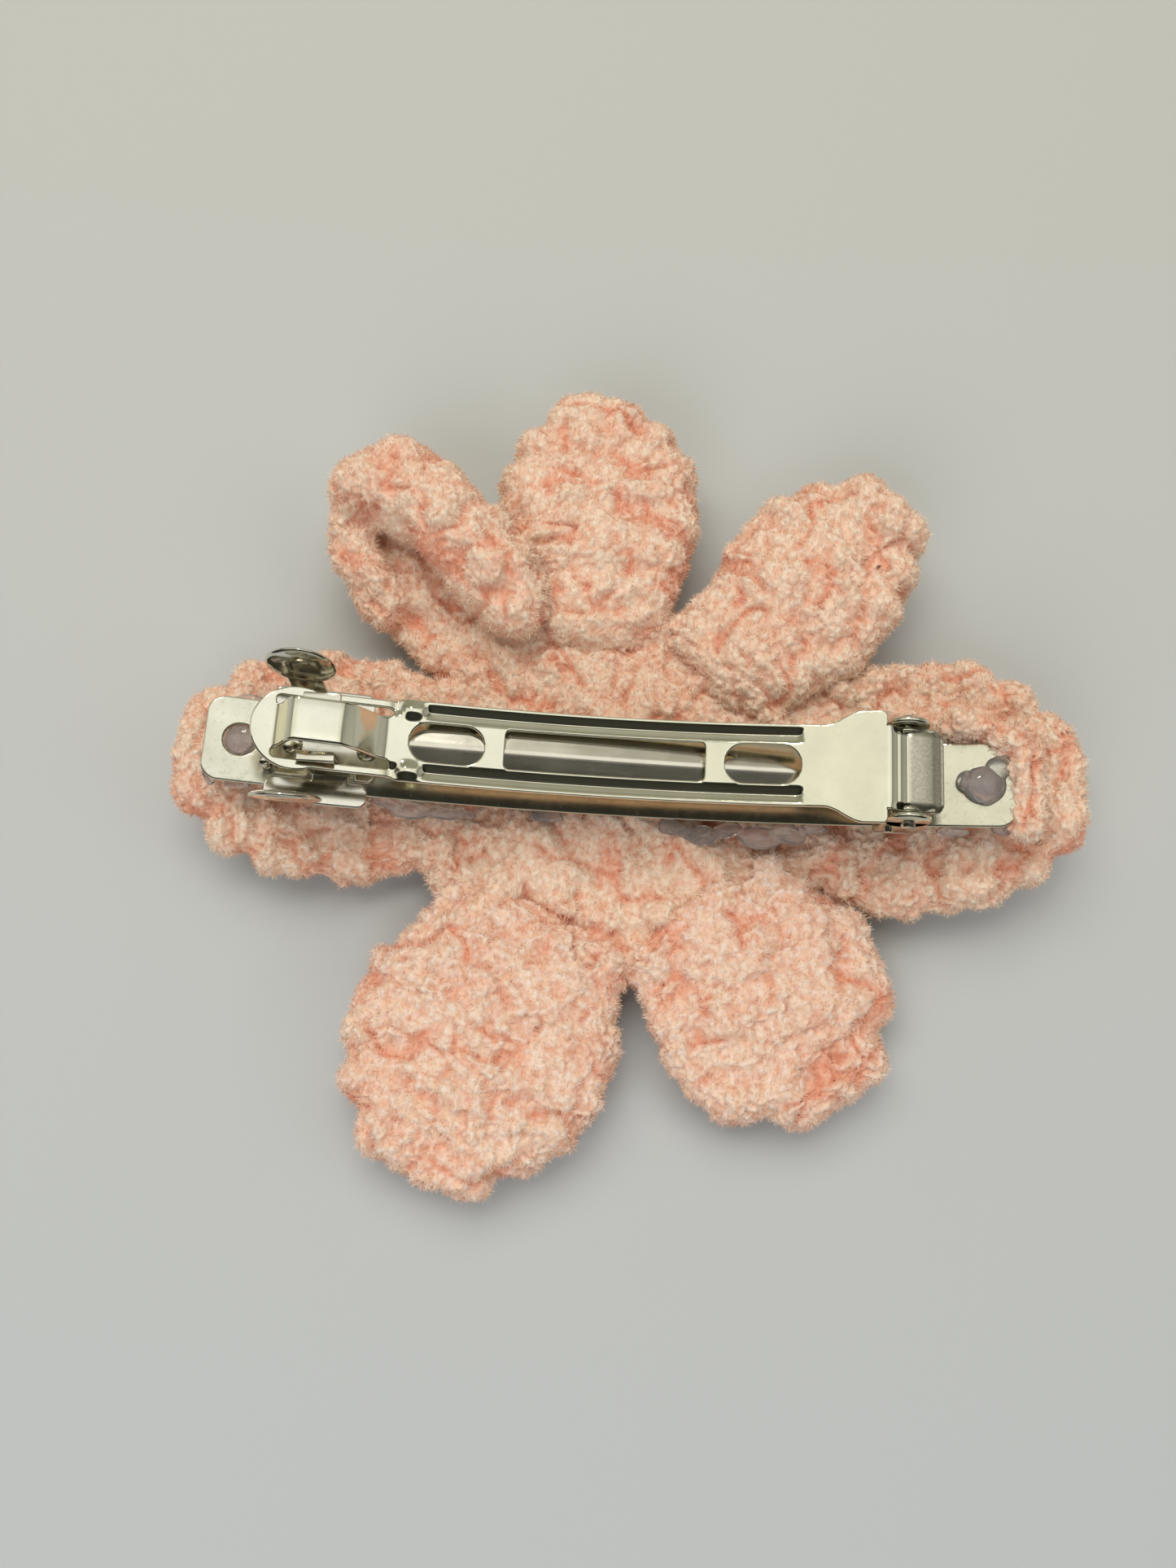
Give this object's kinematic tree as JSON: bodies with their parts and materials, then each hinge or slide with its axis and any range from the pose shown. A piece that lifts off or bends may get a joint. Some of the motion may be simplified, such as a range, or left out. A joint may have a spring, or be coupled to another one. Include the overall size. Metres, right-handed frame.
{
  "type": "flower hair clip",
  "caption": "Spring hair barrette with an arched base bar, hinged clasp arm and pinch latch, glued to the back of a soft crocheted flower.",
  "frame": {"origin": "centre of the flower's flat front face, under the middle of the clip", "axes": "+Z from the flower's front towards the wearer's head, +X along the clip from its latch to its hinge, +Y across the clip"},
  "size_m": [0.0956, 0.088, 0.0236],
  "materials": {
    "nickel": "bright nickel plate, warm, finely scratched",
    "spring_steel": "satin nickel-plated spring steel",
    "hot_glue": "clear hot-melt glue, glossy",
    "chenille_yarn": "peach-pink chenille yarn, fluffy pile"
  },
  "bodies": {
    "base": {"base_bar": "nickel", "latch_floor": "spring_steel", "latch_rivet_1": "nickel", "latch_rivet_2": "nickel", "glue_bed": "hot_glue", "glue_plug_left": "hot_glue", "glue_blob_right": "hot_glue", "flower_hub": "chenille_yarn", "petal_upper_left": "chenille_yarn", "petal_upper_right": "chenille_yarn", "petal_top": "chenille_yarn", "petal_right": "chenille_yarn", "petal_left": "chenille_yarn", "petal_lower_left": "chenille_yarn", "petal_lower_right": "chenille_yarn"},
    "arm": {"clasp_arm": "nickel"},
    "tension": {"tension_bar": "spring_steel"},
    "cheek_front": {"latch_cheek_front": "nickel"},
    "cheek_back": {"latch_cheek_back": "nickel"}
  },
  "joints": [
    {"name": "arm_hinge", "type": "hinge", "parent": "base", "child": "arm", "pos_m": [0.0286, 0, 0.0176], "axis": [0, 1, 0], "range_deg": [0, 80]},
    {"name": "tension_hinge", "type": "hinge", "parent": "base", "child": "tension", "pos_m": [0.0273, 0, 0.0153], "axis": [0, 1, 0], "range_deg": [0, 40]},
    {"name": "cheek_front_flex", "type": "hinge", "parent": "base", "child": "cheek_front", "pos_m": [-0.0286, -0.002, 0.01332], "axis": [-1, 0, 0], "range_deg": [0, 6], "stiffness_Nm_per_rad": 0.1},
    {"name": "cheek_back_flex", "type": "hinge", "parent": "base", "child": "cheek_back", "pos_m": [-0.0286, 0.002, 0.01332], "axis": [1, 0, 0], "range_deg": [0, 6], "stiffness_Nm_per_rad": 0.1}
  ],
  "couplings": [
    {"joint": "tension_hinge", "follows": "arm_hinge", "ratio": 0.5}
  ]
}
